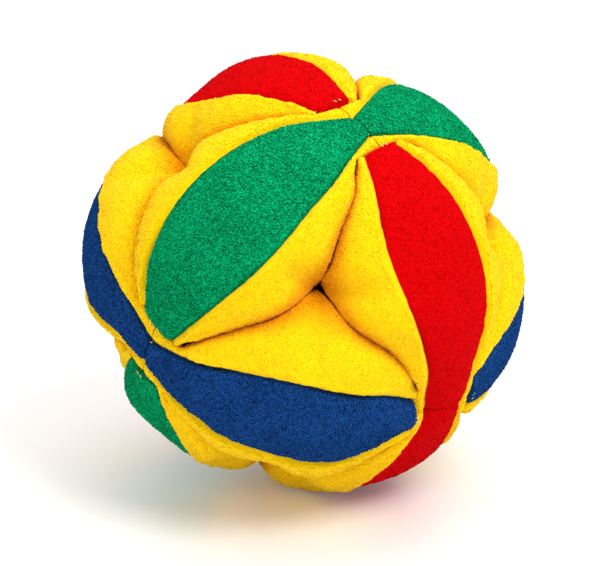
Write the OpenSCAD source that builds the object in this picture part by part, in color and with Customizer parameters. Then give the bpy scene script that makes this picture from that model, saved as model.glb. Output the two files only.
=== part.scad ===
// Sewn fleece clutch ball: three interlocked rings, each a chain of four stuffed wedges.
// A wedge runs a quarter of the way round the ball. At one end its ring passes over the
// next ring, and at the other end it is tucked under the third.

/* [Ball] */
// Radius of the ball at the crown of a wedge
ball_r = 82; // [70:1:100]
// How far a ring dips below its crowns where it passes over another ring
waist_dip = 5; // [3:0.5:8]
// Angle from a crossing over which the crown rises to its full height
rise_a = 28; // [20:1:40]

/* [Wedge] */
// Width of a stuffed wedge at its middle
wedge_w = 75.5; // [66:0.5:86]
// Width of the green panels at the middle of a wedge
green_w = 43; // [30:1:48]
// Width of the blue panels at the middle of a wedge
blue_w = 37.5; // [30:0.5:48]
// Width of the red panels at the middle of a wedge
red_w = 39; // [30:1:48]
// How far the panel falls from its crown to its seams
panel_sag = 3.5; // [1:0.5:6]
// Depth below the ball's surface of the creases between the wedges, beside a waist
crease_depth = 9; // [7:0.5:16]
// Roundness of the inner sides, from flat to full
inner_round = 0.45; // [0:0.05:0.6]
// Flatness of the outer sides, from a round 1 to a flat 2
outer_flat = 1.3; // [1:0.1:1.6]
// Depth of a wedge from its crown to its inner ridge
wedge_depth = 58; // [50:1:62]
// Fullness of the inner ridge between its two ends
ridge_fullness = 0.8; // [0.6:0.05:1.2]
// Thickness of the fleece
fleece_t = 2; // [1:0.25:3]

/* [Waists] */
// Width of a waist that passes over another ring
neck_w = 20; // [16:1:24]
// Width of a waist that is tucked under another ring
tuck_w = 14; // [12:1:18]
// Thickness of a waist
neck_t = 8; // [7:0.5:10]
// Width of the coloured panel at a waist that passes over
strip_w = 10.5; // [8:0.5:14]
// Width of the coloured panel at its tucked end
tip_w = 5; // [4:0.5:8]
// Least width of the yellow lip beside a panel
lip_w = 2; // [1.5:0.25:4]
// Length over which a tucked end drops from the crown to its waist
drop_l = 2.5; // [2:0.5:8]

/* [Waist seams] */
// Thickness of the layers sewn together at a waist
seam_t = 0.8; // [0.5:0.1:1.2]
// Distance from a waist's edges to the ends of its seam
seam_inset = 3; // [2:0.5:4]
// Distance from a waist's top and bottom to its seam
seam_rim = 1; // [0.5:0.25:2]

/* [Clearances] */
// Gap between the sides of neighbouring wedges
side_gap = 0.8; // [0.6:0.1:3]
// Angle by which each wedge has room to rock
rock_a = 1.5; // [1:0.5:4]
// Gap between a waist and the one tucked under it
tuck_gap = 0.5; // [0.4:0.1:2]
// Gap between a wedge's end and its waist seam
seam_gap = 0.6; // [0.4:0.1:0.9]

/* [Lie] */
// Turn of the ball about X as it lies
lie_x = -165; // [-180:0.5:180]
// Turn of the ball about Y as it lies
lie_y = -60; // [-90:0.5:90]
// Turn of the ball about Z as it lies
lie_z = -60.5; // [-180:0.5:180]
// Depth of the flat on which the ball rests
rest_flat = 0.8; // [0.3:0.1:1.5]

/* [Hidden] */
RINGS = ["green", "blue", "red"];
PIECES = ["panel", "casing", "fill", "waist_seam"];

ring_colours = ["#00965a", "#143782", "#e10a0a"];
panel_widths = [green_w, blue_w, red_w];
casing_colour = "#ffd200";
fill_colour = "#f4f4f0";
seam_colour = "#5a2a28";

// Half turns that carry the master wedge to the four quarters of its ring
quarter_signs = [[1, 1, 1], [-1, 1, -1], [-1, -1, 1], [1, -1, -1]];
quarter_turns = [[0, 0, 0], [0, 180, 0], [0, 0, 180], [180, 0, 0]];
ring_step = 120;
quarter = 90;

// Radii of the two waists: the one that passes over, and the one tucked under it
over_top = ball_r - waist_dip;
over_bottom = over_top - neck_t;
tuck_drop = neck_t + tuck_gap;
over_mid = over_top - neck_t / 2;
tuck_mid = over_mid - tuck_drop;
seam_h = neck_t - 2 * seam_rim;
end_d = seam_t / 2 + seam_gap;

// Angles at the ball's centre that the waists take up
neck_a = asin((neck_w / 2 + side_gap) / over_top);
drop_a = neck_a + asin(drop_l / over_top);

// Grid of a wedge: stations along it, and steps round its section
even_steps = 8;
panel_steps = 4;
side_steps = 2;
even_span = (quarter - neck_a - drop_a) / even_steps;
stations = [
    0,
    for (i = [0:even_steps]) neck_a + i * even_span,
    quarter - neck_a,
    quarter
];

function smooth_step(x, from, to) =
    let (u = min(1, max(0, (x - from) / (to - from))))
    u * u * (3 - 2 * u);

// Angle from a station to the nearer crossing
function from_crossing(a) = min(a, quarter - a);

// 0 at the waists and 1 at the middle of a wedge
function fullness(a) =
    let (u = max(0, from_crossing(a) - neck_a) / (quarter / 2 - neck_a))
    pow(sin(quarter * u), ridge_fullness);

// Crown radius: it dips to both waists, and drops under the other ring at the tucked end
function crown(a) =
    ball_r
    - waist_dip * (1 - smooth_step(from_crossing(a), 0, rise_a))
    - tuck_drop * (1 - smooth_step(quarter - a, neck_a, drop_a));

// Inner ridge radius
function ridge(a) =
    let (waist = a < quarter / 2 ? over_bottom : over_bottom - tuck_drop, f = fullness(a))
    waist * (1 - f) + (ball_r - wedge_depth) * f;

// Radius of the line through a wedge's two waists, about which it rocks
function pivot(a) = 1 / (cos(a) / over_mid + sin(a) / tuck_mid);

// Half width that the neighbouring wedges leave, where their planes allow the given half width
rock_share = sin(rock_a);
function room(a, plane, mid) =
    let (k = sin(from_crossing(a)))
    (plane - side_gap / 2 * sqrt(1 + k * k)) / (1 + k * rock_share) - (mid - pivot(a)) * rock_share;

// Radius of the crease in the middle of a hollow, at which a wedge has its full width
half_k = sin(quarter / 2);
half_free = 1 + half_k * rock_share;
half_gap = side_gap / 2 * sqrt(1 + half_k * half_k) / half_free;
hollow_mid = (wedge_w / 2 + half_gap - pivot(quarter / 2) * rock_share) / (half_k / half_free - rock_share);
hollow_r = hollow_mid * sqrt(1 + half_k * half_k);

// Radius at which the sides are widest
swell_a = 6;
function widest(a) =
    let (
        b = from_crossing(a),
        inward = smooth_step(b, neck_a, quarter / 2),
        crease = (ball_r - crease_depth) * (1 - inward) + hollow_r * inward,
        f = smooth_step(b, neck_a, neck_a + swell_a)
    )
    (crown(a) + ridge(a)) / 2 * (1 - f) + crease / sqrt(1 + sin(b) * sin(b)) * f;

// Width of the inner sides against their widest, at a turn of 0 to 90 down to the ridge
function inner_share(t) = (1 - inner_round) * (1 - sin(t)) + inner_round * cos(t);

// Half width of the stuffed sides: as wide as the neighbouring wedges leave room for
function half_width(a) =
    let (
        k = sin(from_crossing(a)),
        mid = widest(a),
        low = ridge(a),
        plane = min([for (t = [0:15:75]) k * (mid - (mid - low) * sin(t)) / inner_share(t)]),
        waist = (a < quarter / 2 ? neck_w : tuck_w) / 2
    )
    max(waist, room(a, plane, mid));

// Half width of the coloured panel: a lens with blunt ends
lens_power = 1.25;
function panel_half(a, r) =
    let (
        v = a / quarter,
        blunt = (strip_w * (1 - v) + tip_w * v) / 2,
        lens = blunt + (panel_widths[r] / 2 - blunt) * pow(sin(2 * a), 1 + (lens_power - 1) * v)
    )
    min(lens, half_width(a) - lip_w);

// How far ring r's panel falls from its crown to its seams at a station
function fall(a, r) = panel_sag * panel_half(a, r) / (panel_widths[r] / 2);

// Point of a section, on the master wedge between the first and second axes of the ball
function at(a, r, c) = [max(r * cos(a), end_d), max(r * sin(a), end_d), c];

// Panel's row of points at a station, set in by the given thickness
function panel_row(a, r, inset) =
    let (h = panel_half(a, r) - inset / 2, top = crown(a) - inset)
    [for (i = [-panel_steps / 2:panel_steps / 2])
        let (u = -2 * i / panel_steps)
        at(a, top - fall(a, r) * u * u, h * u)];

// One side's points from the panel's seam down to the ridge, on the side of the given sign
function side_row(a, r, inset, sign) =
    let (
        h = panel_half(a, r) - inset / 2,
        w = half_width(a) - inset,
        edge = crown(a) - inset - fall(a, r),
        mid = widest(a),
        low = ridge(a) + inset,
        step = 90 / side_steps
    )
    [
        for (i = [0:side_steps])
            let (down = pow(cos(i * step), outer_flat), out = pow(sin(i * step), outer_flat))
            at(a, mid + (edge - mid) * down, sign * (h + (w - h) * out)),
        for (i = [1:side_steps])
            at(a, mid - (mid - low) * sin(i * step), sign * w * inner_share(i * step))
    ];

// Casing's row of points: down one side, round the ridge and up the other side
function casing_row(a, r, inset) =
    let (left = side_row(a, r, inset, -1), right = side_row(a, r, inset, 1), n = len(left))
    [each left, for (i = [n - 2:-1:0]) right[i]];

function panel_grid(r, inset) = [for (a = stations) panel_row(a, r, inset)];
function casing_grid(r, inset) = [for (a = stations) casing_row(a, r, inset)];

// Two triangles of a grid cell, given by its four corners in turn
function cell(p, q, r, s) = [[p, q, r], [p, r, s]];

// A sheet of fleece between an outer and an inner grid of points
module sheet(outer, inner) {
    n = len(outer);
    m = len(outer[0]);
    function id(layer, i, j) = (layer * n + i) * m + j;
    points = [for (grid = [outer, inner], row = grid) each row];
    faces = [
        for (i = [0:n - 2], j = [0:m - 2])
            each cell(id(0, i, j), id(0, i + 1, j), id(0, i + 1, j + 1), id(0, i, j + 1)),
        for (i = [0:n - 2], j = [0:m - 2])
            each cell(id(1, i, j), id(1, i, j + 1), id(1, i + 1, j + 1), id(1, i + 1, j)),
        for (i = [0:n - 2])
            each cell(id(0, i, 0), id(1, i, 0), id(1, i + 1, 0), id(0, i + 1, 0)),
        for (i = [0:n - 2])
            each cell(id(0, i, m - 1), id(0, i + 1, m - 1), id(1, i + 1, m - 1), id(1, i, m - 1)),
        for (j = [0:m - 2])
            each cell(id(0, 0, j), id(0, 0, j + 1), id(1, 0, j + 1), id(1, 0, j)),
        for (j = [0:m - 2])
            each cell(id(0, n - 1, j), id(1, n - 1, j), id(1, n - 1, j + 1), id(0, n - 1, j + 1))
    ];
    polyhedron(points, faces, convexity = 4);
}

// A solid through a stack of closed rings of points
module loft(rings) {
    n = len(rings);
    m = len(rings[0]);
    function id(i, j) = i * m + j % m;
    faces = [
        for (i = [0:n - 2], j = [0:m - 1])
            each cell(id(i, j), id(i + 1, j), id(i + 1, j + 1), id(i, j + 1)),
        for (j = [1:m - 2]) [id(0, 0), id(0, j), id(0, j + 1)],
        for (j = [1:m - 2]) [id(n - 1, 0), id(n - 1, j + 1), id(n - 1, j)]
    ];
    polyhedron([for (ring = rings) each ring], faces, convexity = 4);
}

// Heights above the ball's centre once it lies as it does
up = [-sin(lie_y), cos(lie_y) * sin(lie_x), cos(lie_y) * cos(lie_x)];
function ring_turned(p, r) = [for (i = [0:2]) p[(i - r + 3) % 3]];
function quarter_turned(p, k) = [for (i = [0:2]) p[i] * quarter_signs[k][i]];
function lowest(r, k) =
    min([for (row = panel_grid(r, 0), p = row) ring_turned(quarter_turned(p, k), r) * up]);
rest_depth = -min([for (r = [0:2], k = [0:3]) lowest(r, k)]);
lift = rest_depth - rest_flat;

// Ring r's quarter k, turned as the ball lies and lifted to stand on its flat
module placed(r, k) {
    translate([0, 0, lift])
        rotate([lie_x, lie_y, lie_z])
            rotate(a = ring_step * r, v = [1, 1, 1])
                rotate(quarter_turns[k])
                    children();
}

// What lies below the surface on which the ball rests
module underground() {
    translate([-ball_r, -ball_r, -ball_r])
        cube([2 * ball_r, 2 * ball_r, ball_r]);
}

module panel(r, k) {
    color(ring_colours[r])
        if (lowest(r, k) + lift < 0) {
            difference() {
                placed(r, k) sheet(panel_grid(r, 0), panel_grid(r, fleece_t));
                underground();
            }
        } else {
            placed(r, k) sheet(panel_grid(r, 0), panel_grid(r, fleece_t));
        }
}

module casing(r, k) {
    color(casing_colour)
        placed(r, k) sheet(casing_grid(r, 0), casing_grid(r, fleece_t));
}

module fill(r, k) {
    panels = panel_grid(r, fleece_t);
    casings = casing_grid(r, fleece_t);
    inner = len(casings[0]) - 2;
    color(fill_colour)
        placed(r, k)
            loft([for (i = [0:len(stations) - 1])
                [each panels[i], for (j = [1:inner]) casings[i][j]]]);
}

// Sewn layers across a waist: a flat bar with round ends
module seam_bar(width) {
    reach = (width - seam_h) / 2;
    rotate([90, 0, 0])
        translate([0, 0, -seam_t / 2]) {
            translate([-seam_h / 2, -reach, 0]) cube([seam_h, 2 * reach, seam_t]);
            for (side = [-1, 1]) translate([0, side * reach, 0]) cylinder(d = seam_h, h = seam_t);
        }
}

// Seams 1 and 3 are on the waists that pass over, 2 and 4 on the tucked ones
module waist_seam(r, k) {
    tucked = k % 2 == 1;
    color(seam_colour)
        placed(r, k - k % 2)
            if (tucked)
                rotate([0, 0, 90]) translate([tuck_mid, 0, 0]) seam_bar(tuck_w - 2 * seam_inset);
            else
                translate([over_mid, 0, 0]) seam_bar(neck_w - 2 * seam_inset);
}

$fn = 32;
for (r = [0:2], k = [0:3]) {
    panel(r, k);
    casing(r, k);
    fill(r, k);
    waist_seam(r, k);
}
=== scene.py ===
"""Sewn fleece clutch ball: three interlocked rings of four stuffed wedges, lying on a pale floor.

Lengths are in metres and angles in degrees. A wedge is worked out once, between the first and the
second axis of the ball. It is then turned to its ring, to its quarter of that ring, and as the ball lies.
At the end of a size's name, w is a width, t a thickness, r a radius, l a length, h a height and a an angle.
"""
import logging
import math
from dataclasses import dataclass, field
from enum import Enum
from typing import Any, Callable, Optional, Self, Sequence, Union

import bmesh
import bpy
import numpy as np
from mathutils import Matrix, Vector


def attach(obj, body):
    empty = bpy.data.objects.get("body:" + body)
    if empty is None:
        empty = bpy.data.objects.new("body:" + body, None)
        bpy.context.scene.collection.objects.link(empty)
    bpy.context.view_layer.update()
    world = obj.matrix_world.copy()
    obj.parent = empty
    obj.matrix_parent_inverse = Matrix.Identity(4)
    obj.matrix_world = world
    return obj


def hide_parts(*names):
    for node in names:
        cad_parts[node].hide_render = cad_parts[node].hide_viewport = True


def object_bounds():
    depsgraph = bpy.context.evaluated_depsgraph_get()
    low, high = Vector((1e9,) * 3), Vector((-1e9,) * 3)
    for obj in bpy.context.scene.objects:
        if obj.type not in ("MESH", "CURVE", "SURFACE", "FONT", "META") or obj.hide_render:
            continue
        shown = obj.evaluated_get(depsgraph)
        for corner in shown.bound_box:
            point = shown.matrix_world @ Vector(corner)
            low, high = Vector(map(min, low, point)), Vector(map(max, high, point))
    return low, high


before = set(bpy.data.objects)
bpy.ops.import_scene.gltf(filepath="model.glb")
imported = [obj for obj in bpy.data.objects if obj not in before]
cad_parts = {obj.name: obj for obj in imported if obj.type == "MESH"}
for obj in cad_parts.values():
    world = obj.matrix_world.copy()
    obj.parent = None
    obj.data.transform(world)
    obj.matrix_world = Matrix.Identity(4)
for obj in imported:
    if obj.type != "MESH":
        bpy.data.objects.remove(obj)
CAD_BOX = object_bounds()

LOG = logging.getLogger("clutch_ball")
MM = 0.001
QUARTER = 90.0
WEDGES_PER_RING = 4
VIEW_ELEVATION = 18.0
SHARP_A = 65.0
HANDWORK_SEED = 500
SLIGHT_SLACK_MM = 0.8
SLIGHT_DRIFT_MM = 1.0
ROOT_BODY = "waist_seams"
PILE_AND_SHADE_ATTRIBUTE = "pile"
CREASE_SHADE_ATTRIBUTE = "crease"

Colour = tuple[float, float, float, float]
Face = Callable[[float], tuple[np.ndarray, np.ndarray]]


class Ring(Enum):
    """The three rings, in the order that a third of a turn carries one to the next."""

    GREEN = 0
    BLUE = 1
    RED = 2

    @property
    def word(self) -> str:
        """Name of the ring as the nodes and bodies write it."""
        return self.name.lower()

    @property
    def panel_w(self) -> float:
        """Width of the ring's panels at the middle of a wedge."""
        return (41.5 * MM, 36 * MM, 39 * MM)[self.value]

    @property
    def strip_w(self) -> float:
        """Width of the ring's panels at the waists that pass over."""
        return (10.5 * MM, 10.5 * MM, 13.0 * MM)[self.value]

    @property
    def taper(self) -> float:
        """Power of the panels' curve towards the waists that pass over: 1 is fullest."""
        return (1.0, 1.0, 1.3)[self.value]

    @property
    def tuft_h(self) -> float:
        """Height of the tufts on the ring's panels: the red fleece is shorn closest."""
        return (0.36 * MM, 0.34 * MM, 0.16 * MM)[self.value]


@dataclass(frozen=True)
class Lie:
    """How the ball lies: its turns about the frame's axes, and the flat that it rests on."""

    turn_x: float = -165.0
    turn_y: float = -60.0
    turn_z: float = -60.5
    rest_flat: float = 0.8 * MM
    quarter_signs: tuple = ((1, 1, 1), (-1, 1, -1), (-1, -1, 1), (1, -1, -1))

    def centre(self) -> np.ndarray:
        """Middle of the ball: the model is alike either side of it, but for the flat cut away below."""
        top = CAD_BOX[1][2]
        return np.array([0.0, 0.0, (top - self.rest_flat) / 2])

    def matrix(self) -> np.ndarray:
        """Turn from the ball's own axes to the frame's."""
        turns = [Matrix.Rotation(math.radians(angle), 3, axis)
                 for angle, axis in ((self.turn_z, "Z"), (self.turn_y, "Y"), (self.turn_x, "X"))]
        return np.array(turns[0] @ turns[1] @ turns[2])

    def place(self, points: np.ndarray, ring: Ring, quarter: int) -> np.ndarray:
        """Carry points of the master wedge to one wedge of the ball.

        Args:
            points: Points of the master wedge, in the ball's axes, in any grid.
            ring: Ring that the wedge belongs to.
            quarter: Number of the wedge in its ring, from 0.

        Returns:
            The points in the frame, in the same grid.
        """
        turned = points * np.array(self.quarter_signs[quarter], dtype=float)
        turned = np.roll(turned, ring.value, axis=-1)
        return turned @ self.matrix().T + self.centre()


@dataclass(frozen=True)
class Lumps:
    """A smooth random field: a sum of waves with seeded directions and phases."""

    seed: int
    wavelength: float
    waves: int = 18
    spread: tuple = (0.7, 1.5)

    def at(self, points: np.ndarray) -> np.ndarray:
        """Value of the field, of about unit spread.

        Args:
            points: Points in any grid, with three coordinates last.

        Returns:
            One value for each point.
        """
        draw = np.random.default_rng(self.seed)
        directions = draw.normal(size=(self.waves, 3))
        directions /= np.linalg.norm(directions, axis=1)[:, None]
        lengths = self.wavelength * draw.uniform(*self.spread, self.waves)
        phases = draw.uniform(0, 2 * math.pi, self.waves)
        total = np.zeros(points.shape[:-1])
        for direction, length, phase in zip(directions, lengths, phases):
            total += np.sin(points @ direction * (2 * math.pi / length) + phase)
        return total * math.sqrt(2.0 / self.waves)


def smooth_step(x: np.ndarray, start: float, end: float) -> np.ndarray:
    """Rise from 0 at start to 1 at end, level at both."""
    u = np.clip((x - start) / (end - start), 0.0, 1.0)
    return u * u * (3 - 2 * u)


@dataclass(frozen=True)
class Push:
    """One place where stuffing by hand pushed the cloth aside.

    Places and moves are as the ball is seen from the front: to the right and up from its middle.
    """

    right: float
    up: float
    move_right: float
    move_up: float
    reach: float


@dataclass(frozen=True)
class Stuffing:
    """How the stuffing pushed neighbouring wedges aside together, so that their sides still meet."""

    front_from: float = -40 * MM
    pushes: tuple = tuple(Push(*(size * MM for size in row)) for row in (
        (20, 54, 1.8, -0.8, 14),
        (6, -10, -0.3, 4.6, 11),
        (30, -30, 2.4, 2.8, 13),
        (15, 27, 2.4, 0.0, 9),
        (-43, -31, 0.0, -3.2, 16),
        (-58, -28, -0.5, -2.0, 11),
        (-74, -34, 5.0, 2.0, 10),
        (-43, 68, 1.7, -2.7, 16),
        (-59, 51, 1.4, -1.2, 13),
        (-47, -61, 3.2, -2.8, 13),
        (34, -46, 0.3, 1.7, 13),
        (40, -47, -4.2, 0.0, 7),
        (41, -9, 2.7, 0.0, 14),
        (52, -42, 2.8, 0.0, 12),
        (80, -8, 1.2, 0.0, 22),
        (77, 20, -2.6, -0.6, 9),
        (68, -44, 0.6, 1.6, 10),
        (49, -56, 3.0, 0.4, 12),
        (31, 71, -0.9, -1.8, 10),
    ))

    def moved(self, points: np.ndarray, centre: np.ndarray) -> np.ndarray:
        """Move points of the ball as the stuffing pushed them.

        Args:
            points: Points in the frame, in any grid.
            centre: Middle of the ball.

        Returns:
            The moved points, in the same grid.
        """
        tilt = math.radians(VIEW_ELEVATION)
        across = np.array([1.0, 0.0, 0.0])
        upward = np.array([0.0, math.sin(tilt), math.cos(tilt)])
        towards = np.array([0.0, -math.cos(tilt), math.sin(tilt)])
        local = points - centre
        x, y, z = local @ across, local @ upward, local @ towards
        front = smooth_step(z, self.front_from, 0.0)
        shift = np.zeros_like(points)
        for push in self.pushes:
            near = front * np.exp(-((x - push.right) ** 2 + (y - push.up) ** 2) / push.reach ** 2)
            shift += near[..., None] * (push.move_right * across + push.move_up * upward)
        return points + shift


@dataclass(frozen=True)
class WedgeShape:
    """Sizes of one stuffed wedge, and the curves that its surface follows.

    The curves run over the angle a from the crossing where the wedge passes over, at 0, to the crossing
    where its end is tucked under, at a quarter turn.
    """

    ball_r: float = 82 * MM
    waist_dip: float = 5 * MM
    rise_a: float = 34.0
    panel_w: float = 43 * MM
    panel_sag: float = 3.5 * MM
    crease_depth: float = 7.5 * MM
    hollow_depth: float = 6.5 * MM
    funnel_depth: float = 9 * MM
    funnel_a: float = 6.0
    hole_r: float = 1.2 * MM
    hole_a: float = 2.5
    inner_round: float = 0.45
    outer_flat: float = 1.02
    waist_flat: float = 0.7
    swell_a: float = 6.0
    rock_a: float = 0.12
    wedge_depth: float = 58 * MM
    ridge_fullness: float = 0.8
    fleece_t: float = 2 * MM
    neck_w: float = 23 * MM
    tuck_w: float = 14 * MM
    neck_t: float = 8 * MM
    strip_w: float = 10.5 * MM
    tip_w: float = 7 * MM
    lip_w: float = 1.5 * MM
    drop_l: float = 0.8 * MM
    side_gap: float = 0.12 * MM
    tuck_gap: float = 0.5 * MM
    taper: float = 1.0
    tip_taper: float = 1.25
    end_gap: float = 0.05 * MM
    end_flare: float = 0.03
    pinch: float = 0.7 * MM
    pinch_w: float = 1.5 * MM
    room_angles: range = range(0, 76, 5)

    @property
    def over_top(self) -> float:
        """Outer radius of the waist that passes over."""
        return self.ball_r - self.waist_dip

    @property
    def over_mid(self) -> float:
        """Middle radius of the waist that passes over."""
        return self.over_top - self.neck_t / 2

    @property
    def tuck_drop(self) -> float:
        """How far the tucked waist lies below the one that passes over."""
        return self.neck_t + self.tuck_gap

    @property
    def neck_a(self) -> float:
        """Angle from a crossing to the end of its waist."""
        return math.degrees(math.asin((self.neck_w / 2 + self.side_gap) / self.over_top))

    @property
    def drop_a(self) -> float:
        """Angle from a crossing to where a tucked end starts to drop."""
        return self.neck_a + math.degrees(math.asin(self.drop_l / self.over_top))

    def from_crossing(self, a: np.ndarray) -> np.ndarray:
        """Angle to the nearer crossing."""
        return np.minimum(a, QUARTER - a)

    def fullness(self, a: np.ndarray) -> np.ndarray:
        """0 at the waists and 1 at the middle of the wedge."""
        u = np.maximum(0.0, self.from_crossing(a) - self.neck_a) / (QUARTER / 2 - self.neck_a)
        return np.sin(np.radians(QUARTER * u)) ** self.ridge_fullness

    def crown(self, a: np.ndarray) -> np.ndarray:
        """Radius of the crown line.

        Args:
            a: Angles from the crossing where the wedge passes over.

        Returns:
            The radius at each angle.
        """
        dip = self.waist_dip * (1 - smooth_step(self.from_crossing(a), 0, self.rise_a))
        drop = self.tuck_drop * (1 - smooth_step(QUARTER - a, self.neck_a, self.drop_a))
        run = np.radians(self.from_crossing(a)) * self.over_top
        return self.ball_r - dip - drop - self.pinch * np.exp(-((run / self.pinch_w) ** 2))

    def ridge(self, a: np.ndarray) -> np.ndarray:
        """Radius of the inner ridge.

        Args:
            a: Angles from the crossing where the wedge passes over.

        Returns:
            The radius at each angle.
        """
        over_bottom = self.over_top - self.neck_t
        waist = np.where(a < QUARTER / 2, over_bottom, over_bottom - self.tuck_drop)
        f = self.fullness(a)
        return waist * (1 - f) + (self.ball_r - self.wedge_depth) * f

    def widest(self, a: np.ndarray) -> np.ndarray:
        """Radius at which the sides are widest: there they meet their neighbours in a crease.

        Args:
            a: Angles from the crossing where the wedge passes over.

        Returns:
            The radius at each angle.
        """
        b = self.from_crossing(a)
        funnel = self.funnel_depth * np.exp(-(((QUARTER / 2 - b) / self.funnel_a) ** 2))
        hollow = self.hollow_depth * smooth_step(b, self.neck_a, QUARTER / 2)
        crease = self.ball_r - self.crease_depth - hollow - funnel
        f = smooth_step(b, self.neck_a, self.neck_a + self.swell_a)
        swell = crease / np.sqrt(1 + np.sin(np.radians(b)) ** 2)
        return (self.crown(a) + self.ridge(a)) / 2 * (1 - f) + swell * f

    def flatness(self, a: np.ndarray) -> np.ndarray:
        """Power of the outer sides' curve: plump at the waists, flatter between them."""
        f = smooth_step(self.from_crossing(a), self.neck_a, self.neck_a + 2 * self.swell_a)
        return self.waist_flat * (1 - f) + self.outer_flat * f

    def inner_share(self, t: np.ndarray) -> np.ndarray:
        """Share of the inner sides' greatest width, at a turn of 0 to 90 degrees down to the ridge."""
        turn = np.radians(t)
        return (1 - self.inner_round) * (1 - np.sin(turn)) + self.inner_round * np.cos(turn)

    def half_width(self, a: np.ndarray) -> np.ndarray:
        """Half width of the stuffed sides, as wide as the neighbours leave room for.

        Args:
            a: Angles from the crossing where the wedge passes over.

        Returns:
            The half width at each angle.
        """
        k = np.sin(np.radians(self.from_crossing(a)))
        mid, low = self.widest(a), self.ridge(a)
        plane = np.min([k * (mid - (mid - low) * math.sin(math.radians(t))) / self.inner_share(t)
                        for t in self.room_angles], axis=0)
        turn = np.radians(a)
        pivot = 1 / (np.cos(turn) / self.over_mid + np.sin(turn) / (self.over_mid - self.tuck_drop))
        rock = math.sin(math.radians(self.rock_a))
        room = (plane - self.side_gap / 2 * np.sqrt(1 + k * k)) / (1 + k * rock) - (mid - pivot) * rock
        hole = self.hole_r * np.exp(-(((QUARTER / 2 - self.from_crossing(a)) / self.hole_a) ** 2))
        waist = np.where(a < QUARTER / 2, self.neck_w, self.tuck_w) / 2
        return np.maximum(waist, room - hole)

    def panel_half(self, a: np.ndarray) -> np.ndarray:
        """Half width of the coloured panel: a lens with blunt ends.

        Args:
            a: Angles from the crossing where the wedge passes over.

        Returns:
            The half width at each angle.
        """
        v = a / QUARTER
        blunt = (self.strip_w * (1 - v) + self.tip_w * v) / 2
        swell = np.maximum(np.sin(np.radians(2 * a)), 0.0) ** (self.taper * (1 - v) + self.tip_taper * v)
        lens = blunt + (self.panel_w / 2 - blunt) * swell
        return np.minimum(lens, self.half_width(a) - self.lip_w)

    def on_section(self, a: np.ndarray, r: np.ndarray, c: np.ndarray) -> np.ndarray:
        """Points of the master wedge from their angle, radius and distance from its middle plane.

        Args:
            a: Angles from the crossing where the wedge passes over.
            r: Distances from the middle of the ball.
            c: Distances from the wedge's middle plane.

        Returns:
            The points, in the ball's axes, held clear of the two seams.
        """
        end = self.end_gap + self.end_flare * np.abs(c)
        x = np.maximum(r * np.cos(np.radians(a)), end)
        y = np.maximum(r * np.sin(np.radians(a)), end)
        return np.stack(np.broadcast_arrays(x, y, c), axis=-1)


@dataclass(frozen=True)
class Stitch:
    """Sizes of hand stitches: how far apart, how long and thick, and their slant in radians."""

    spacing: float
    length: float
    thread: float
    slant: float


@dataclass(frozen=True)
class SewnDetail:
    """What sewing and stuffing do to a plain wedge.

    A pair says where a smooth change starts and ends: of the relief, by the angle from a crossing; of the
    pile, by the distance from the wedge's ends, a seam or the floor; and of the pile and the painted crease
    shade, by the share of the way down the sides to the crease.
    """

    groove: float = 1.0 * MM
    groove_w: float = 1.1 * MM
    roll: float = 0.7 * MM
    roll_at: float = 2.2 * MM
    roll_w: float = 1.5 * MM
    pucker: float = 0.2 * MM
    pucker_reach: float = 7 * MM
    pucker_wavelength: float = 7 * MM
    lump: float = 0.4 * MM
    lump_wavelength: float = 34 * MM
    jag: float = 0.06 * MM
    jag_wavelength: float = 2.6 * MM
    clump: float = 0.08 * MM
    clump_wavelength: float = 3.4 * MM
    clump_waves: int = 40
    lip_share: float = 0.6
    calm_a: tuple = (2.0, 14.0)
    bare_end: tuple = (0.3 * MM, 1.2 * MM)
    bare_seam: tuple = (0.4 * MM, 2.0 * MM)
    bare_floor: tuple = (0.2 * MM, 1.0 * MM)
    bare_inside: tuple = (1.0, 1.12)
    crease_from: tuple = (0.6, 1.0)
    casing_tuft_h: float = 0.17 * MM
    core_inset: float = 1.15
    core_lump: float = 0.06 * MM
    core_wavelength: float = 9 * MM
    core_fill: float = 0.85
    tip_stitch: Stitch = Stitch(1.8 * MM, 1.5 * MM, 0.45 * MM, 0.5)
    tip_row_half: float = 1.0 * MM
    tip_row_points: int = 5
    tip_row_a: float = 0.1
    tip_sunk: float = 0.05 * MM


@dataclass(frozen=True)
class Handwork:
    """How one wedge differs from the pattern, as sewing and stuffing by hand leave it.

    Slack is how far its crown lies below the pattern's, and drift how far its panel sits to one side.
    """

    slack: float = 0.0
    drift: float = 0.0

    @staticmethod
    def of(ring: Ring, quarter: int) -> "Handwork":
        """What the maker left on one wedge: as the photograph shows it in front, and slight elsewhere.

        Args:
            ring: Ring that the wedge belongs to.
            quarter: Number of the wedge in its ring, from 0.

        Returns:
            The wedge's slack and drift.
        """
        seen = {
            (Ring.GREEN, 0): Handwork(0.0, 2.6 * MM),
            (Ring.BLUE, 0): Handwork(0.0, 2.2 * MM),
            (Ring.RED, 0): Handwork(0.0, 3.0 * MM),
            (Ring.BLUE, 1): Handwork(0.0, -4.5 * MM),
            (Ring.GREEN, 3): Handwork(2.2 * MM, 0.0),
            (Ring.RED, 1): Handwork(1.0 * MM, -3.6 * MM),
            (Ring.BLUE, 3): Handwork(0.0, 4.0 * MM),
            (Ring.GREEN, 1): Handwork(3.0 * MM, 0.0),
        }
        draw = np.random.default_rng(HANDWORK_SEED + 10 * ring.value + quarter)
        slack = float(draw.uniform(0.0, SLIGHT_SLACK_MM)) * MM
        drift = float(draw.uniform(-SLIGHT_DRIFT_MM, SLIGHT_DRIFT_MM)) * MM
        return seen.get((ring, quarter), Handwork(slack, drift))


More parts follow.
